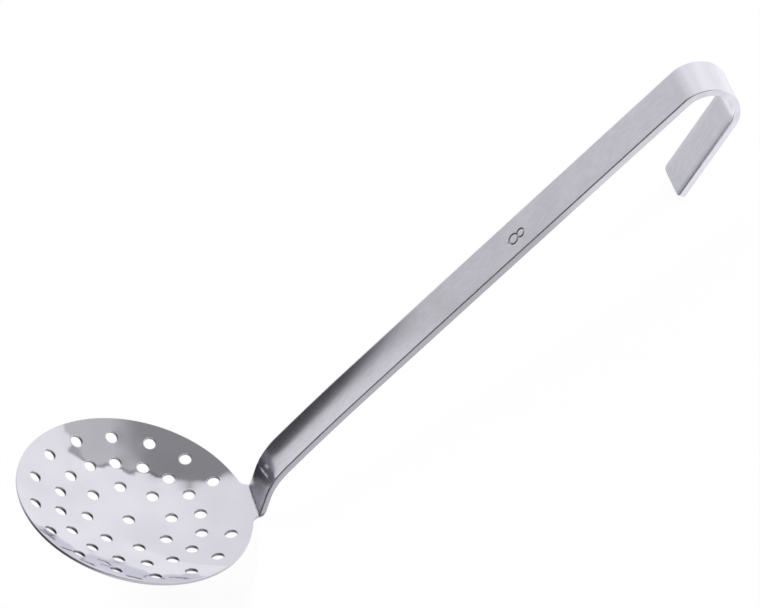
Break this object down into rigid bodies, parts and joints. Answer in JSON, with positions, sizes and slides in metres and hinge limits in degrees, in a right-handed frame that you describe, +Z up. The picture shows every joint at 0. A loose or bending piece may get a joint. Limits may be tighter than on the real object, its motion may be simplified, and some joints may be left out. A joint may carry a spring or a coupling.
{
  "type": "skimmer",
  "caption": "Shallow round perforated bowl on a long flat-bar handle that ends in a turned-back hanging hook, for lifting food out of hot liquid.",
  "frame": {"origin": "on the worktop, in the middle of the box round the skimmer as it lies on its back", "axes": "+X along the handle from the bowl to the hook, +Y across, +Z up; the neck and the tip of the hook touch the worktop and the bowl stands up at the -X end, open towards +X and up"},
  "size_m": [0.2636, 0.08, 0.0662],
  "materials": {
    "bowl_steel": "mirror polished stainless sheet",
    "handle_steel": "satin stainless bar, brighter towards the neck",
    "weld_steel": "weld metal, ground and polished"
  },
  "bodies": {
    "root": {"bowl": "bowl_steel", "handle": "handle_steel", "weld_seam": "weld_steel"}
  },
  "joints": []
}
